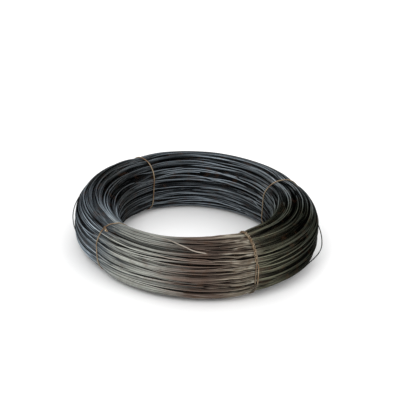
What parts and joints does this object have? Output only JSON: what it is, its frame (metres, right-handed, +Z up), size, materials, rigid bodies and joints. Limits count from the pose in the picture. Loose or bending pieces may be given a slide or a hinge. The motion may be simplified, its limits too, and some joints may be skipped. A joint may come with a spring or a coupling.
{
  "type": "wire coil",
  "caption": "Flat-lying coil of dark annealed steel wire with an open bore, bound round its bundle by thin twisted tie wires.",
  "frame": {"origin": "on the axis of the bore, on the floor that the coil lies on", "axes": "+Z up along the bore axis, +X to the right and -Y to the front as pictured"},
  "size_m": [0.6143, 0.5999, 0.138],
  "materials": {
    "annealed_wire": "dull dark oxide of annealing with light brown staining",
    "tie_wire": "dull, rusted brown in places"
  },
  "bodies": {
    "root": {"wire_coil": "annealed_wire", "tie_wire_front_left": "tie_wire", "tie_wire_front_right": "tie_wire", "tie_wire_back_right": "tie_wire", "tie_wire_back_left": "tie_wire"}
  },
  "joints": []
}
